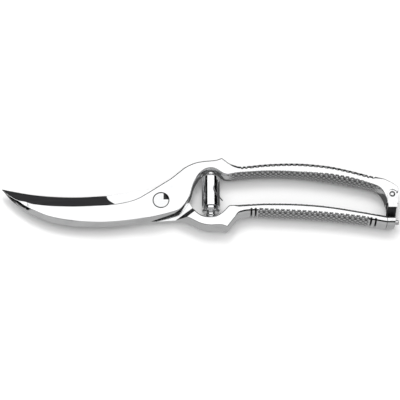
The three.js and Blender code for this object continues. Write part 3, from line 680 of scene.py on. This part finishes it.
case_plug = turned("case_plug_turning", [
    (0, 15.6), (4.65, 15.6), (4.65, 16.8), (4.3, 16.85), (4.2, 17.0), (4.15, 17.4), (4.0, 17.52),
    (2.1, 17.55), (1.75, 17.44)] + [(r if r > 0.01 else 0, 19.8 + y) for r, y in swell[1:]],
    on_axis, "Y")
finished(case_plug, "barrel", ["case_plug"], fastener)
plunger = turned("spring_plunger_tube", [
    (3.6, -4.3), (4.4, -4.3), (4.4, 12.8), (4.2, 13), (3.6, 13), (3.6, -4.3)], on_axis, "Y", 128)
finished(plunger, "plunger", ["spring_plunger"], drawn)
swell = [(2.9 * math.cos(a), 2.9 * math.sin(a)) for a in np.linspace(-math.pi / 2, 0.944, 24)]
foot = turned("plunger_foot_turning", [
    (r if r > 0.01 else 0, -7.6 + y) for r, y in swell if -7.6 + y < -6.35] + [
    (2.6, -6.3), (4.2, -6.28), (4.75, -6.15), (5.2, -5.85), (5.45, -5.5), (5.5, -5.3),
    (5.45, -5.1), (5.2, -4.75), (4.8, -4.45), (4.4, -4.35), (3.55, -4.35), (3.55, -1.8),
    (0, -1.8)], on_axis, "Y")
finished(foot, "plunger", ["plunger_foot"], fastener)


def spring_steel(name):
    finish = Finish(name)
    lines = finish.noise((3.0, 3.0, 3.0), 3.0)
    colour = finish.blend(lines, (0.3, 0.3, 0.31, 1), (0.5, 0.5, 0.52, 1))
    bump = finish.node("Bump", {}, {"Strength": 0.3, "Distance": 0.00003, "Height": lines})
    return finish.surface(Base_Color=colour, Metallic=1.0, Roughness=0.25 + lines * 0.2, Normal=bump)


drawn_wire = spring_steel("drawn_spring_wire")
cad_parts["coil_spring"].data.materials.clear()
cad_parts["coil_spring"].data.materials.append(drawn_wire)
path = []
for angle, level, lift in ((0.3, 9.2, -0.5), (0.31, 8.6, 0), (0.33, 7.6, 0), (0.5, 5.6, 0),
                           (0.85, 3.8, 0), (1.15, 2.2, 0.5), (1.35, 1.0, 1.5)):
    reach = 6.12 + lift
    path.append((AXIS_X + reach * math.sin(angle), level, MIDDLE + reach * math.cos(angle)))
path = [(AXIS_X + 2.1, 10.2, MIDDLE + 4.55), (AXIS_X + 2.1, 10.1, MIDDLE + 5.2)] + path[1:]
bend = bpy.data.curves.new("case_stop_wire_bend", "CURVE")
bend.dimensions = "3D"
bend.bevel_depth = 0.00035
bend.bevel_resolution = 4
bend.resolution_u = 8
bend.use_fill_caps = True
line = bend.splines.new("NURBS")
line.points.add(len(path) - 1)
for point, place in zip(line.points, path):
    point.co = (*[c / 1000 for c in place], 1)
line.order_u = 4
line.use_endpoint_u = True
bend.materials.append(drawn_wire)
stop_wire = bpy.data.objects.new("case_stop_wire_bend", bend)
bpy.context.collection.objects.link(stop_wire)
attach(stop_wire, "barrel")
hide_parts("case_stop_wire")

# ---------------------------------------------------------------------------------------
# Latch: a milled link with two ears that swings on a rivet through the upper handle's
# end lobe. Its slotted foot drops over a knobbed stud pressed into the lower handle and
# holds the handles shut; the waist between them is ramped down as a thumb relief.
ear_low, ear_high = 0.1, THICKNESS - 0.1
left, right = pin[0] - 2.8, pin[0] + 2.8


def ear(low, high):
    angle = np.linspace(0, math.pi, 33)
    dome = [(pin[0] + 2.8 * math.cos(a), pin[1] + 2.8 * math.sin(a)) for a in angle]
    return prism([(right, pin[1] - 8.6), *dome, (left, pin[1] - 8.6)], low, high)


latch = ear(ear_low, ear_low + 1.6)
latch.name = "latch_link_milling"
worked_on(latch, ear(ear_high - 1.6, ear_high), "UNION")
worked_on(latch, prism([(left, pin[1] - 8.6), (right, pin[1] - 8.6), (right, pin[1] - 6.8),
                        (left, pin[1] - 6.8)], ear_low, ear_high), "UNION")
ramp = [(pin[1] - 6.8, ear_low), (pin[1] - 6.8, ear_high - 0.5), (pin[1] - 8.6, ear_high - 0.5),
        (pin[1] - 14.6, 3.6), (pin[1] - 16.6, 3.6), (pin[1] - 16.6, ear_low)]
n = len(ramp)
waist = mesh_of("tool", [(x, y, z) for x in (left, right - 0.6) for y, z in ramp],
                [list(range(n)), list(range(n, 2 * n))]
                + [[i, (i + 1) % n, n + (i + 1) % n, n + i] for i in range(n)])
worked_on(latch, waist, "UNION")
foot_section = BAR.copy()
foot_section[0] -= 0.1
foot_section[1] += 0.1
foot_rows = [(x, -9.5, x - END_SLANT, -16.7, foot_section)
             for x in (HANDLE_END + 0.3, HANDLE_END + 5.2)]
worked_on(latch, lofted("tool", forged_rings(foot_rows, np.linspace(0, 1, 3), (10, 16), no_marks)),
          "UNION")
worked_on(latch, prism([(132, stud_y - 2.05), (153, stud_y - 2.05), (153, stud_y + 2.05),
                        (132, stud_y + 2.05)], MIDDLE - 1.75, MIDDLE + 1.75))
worked_on(latch, cylinder(1.5, -1, 13, pin, 48))
worked_on(latch, cylinder(1.9, ear_low - 1, ear_low + 0.8, pin, 48))
worked_on(latch, cylinder(1.9, ear_high - 0.8, ear_high + 1, pin, 48))


def latch_chrome_with_painted_shade(name):
    """Chrome on the ears and the foot; the waist and the foot's inner end are painted dark as shade.
    """
    finish = Finish(name)
    cutter = finish.noise((7.0, 0.25, 0.6), 4.0, 0.6)
    smudge = finish.between(finish.noise((0.4, 0.35, 0.4), 3.0), 0.4, 0.7)
    here = finish.node("TexCoord", {}, {}, "Object")
    y = finish.node("SeparateXYZ", {}, {"Vector": here}, "Y") * 1000
    toward = finish.node("NewGeometry", {}, {}, "True Normal")
    across = finish.node("SeparateXYZ", {}, {"Vector": toward}, "X")
    # The ramped waist and the foot's inner end face are painted dark as shade.
    ramp = y.below(-4.47) * y.above(-9.4)
    latch_painted_shade = finish.between(ramp + across.below(-0.75) * y.below(-8.5), 0.0, 1.0)
    bright = finish.blend(smudge, (0.9, 0.905, 0.91, 1), (0.8, 0.805, 0.81, 1))
    dark = finish.blend(cutter, (0.02, 0.02, 0.021, 1), (0.08, 0.08, 0.084, 1))
    bump = finish.node("Bump", {}, {"Strength": 0.2, "Distance": 0.00003, "Height": cutter})
    rough = (0.12 + smudge * 0.08) * (1 - latch_painted_shade) + (0.3 + cutter * 0.15) * latch_painted_shade
    return finish.surface(Base_Color=finish.blend(latch_painted_shade, bright, dark), Metallic=1.0,
                          Roughness=rough, Normal=bump)


finished(latch, "latch", ["latch_link"], latch_chrome_with_painted_shade("latch_chrome_painted_shade"), 0.12)
rivet = turned("latch_rivet_turning", [
    (0, 0.2), (1.6, 0.2), (1.8, 0.4), (1.8, 0.85), (1.4, 0.85), (1.4, 10.75), (1.8, 10.75),
    (1.8, 10.95), (1.72, 11.12), (1.1, 11.5), (0.85, 11.58), (0.6, 11.6), (0, 11.6)],
    (*pin, 0), "Z", 64)
# A ring of painted shade round the rivet's head.
rivet_steel = polished_chrome("rivet_head_steel", (0.86, 0.865, 0.87), 0.16, (1.5, 1.5, 1.5),
                              (pin, 1.42, 3, 10.7))
finished(rivet, "latch", ["latch_rivet"], rivet_steel)
stud = turned("latch_stud_turning", [
    (0, 136.4), (1.2, 136.4), (1.2, 147.3), (1.3, 147.9), (1.5, 148.5), (1.5, 149.5),
    (1.38, 149.85), (1.05, 150.08), (0.6, 150.18), (0, 150.2)], (0, stud_y, MIDDLE), "X", 64)
finished(stud, "rear", ["latch_stud"], fastener)

# ---------------------------------------------------------------------------------------
# Table top, light and camera: a plain white sheet, a wide softbox over the far side, a
# card on the near side and a small key lamp. Reflections pass through the sheet to two
# upward-facing lamps beneath it, which set how grey the steel's side walls look.
sheet = mesh_of("table_top", [(-3000, -3000, -0.05), (3000, -3000, -0.05), (3000, 3000, -0.05),
                              (-3000, 3000, -0.05)], [[0, 1, 2, 3]])
paper = Finish("white_sheet")
tooth = paper.noise((0.8, 0.8, 0.8), 4.0)
sheet.data.materials.append(paper.surface(
    Base_Color=paper.blend(tooth, (0.9, 0.9, 0.9, 1), (0.93, 0.93, 0.93, 1)), Roughness=0.9,
    Normal=paper.node("Bump", {}, {"Strength": 0.05, "Distance": 0.0001, "Height": tooth})))


def softbox(name, place, look, width, depth, power):
    light = bpy.data.lights.new(name, "AREA")
    light.shape = "RECTANGLE"
    light.size, light.size_y = width, depth
    light.energy = power
    lamp = bpy.data.objects.new(name, light)
    bpy.context.collection.objects.link(lamp)
    lamp.location = place
    lamp.visible_camera = False
    lamp.rotation_euler = (Vector(look) - Vector(place)).to_track_quat("-Z", "Y").to_euler()
    return lamp


softbox("overhead_softbox", (0.02, 0.5, 1.0), (0.02, 0.5, 0), 2.0, 1.3, 9.4)
softbox("front_card", (0.02, -0.82, 0.375), (0.02, 0, 0.375), 3.0, 0.85, 3.6)
softbox("low_card", (0.02, -0.411, -0.05), (0.02, -0.411, 1), 3.0, 0.818, 3.2)
softbox("far_low_card", (0.02, 0.199, -0.05), (0.02, 0.199, 1), 3.0, 0.4, 0.3)
key = softbox("key_softbox", (0.0, 0.55, 0.8), (0.02, 0, 0), 0.3, 0.3, 2.8)
key.visible_glossy = False
sheet.visible_glossy = False
world = bpy.data.worlds.new("studio")
bpy.context.scene.world = world
world.use_nodes = True
world.node_tree.nodes["Background"].inputs["Color"].default_value = (0.9, 0.9, 0.9, 1)
world.node_tree.nodes["Background"].inputs["Strength"].default_value = 0.65
world.cycles_visibility.glossy = False

camera = bpy.data.objects.new("camera", bpy.data.cameras.new("camera"))
bpy.context.collection.objects.link(camera)
bpy.context.scene.camera = camera
camera.data.lens = 107
camera.data.sensor_width = 36
target = Vector((0.0246, 0.0, 0.0116))
toward = Vector((0, -math.cos(math.radians(70)), math.sin(math.radians(70))))
camera.location = target + toward * 0.75
camera.rotation_euler = (-toward).to_track_quat("-Z", "Y").to_euler()
camera.data.clip_start = 0.01
bpy.context.scene.view_settings.view_transform = "Standard"
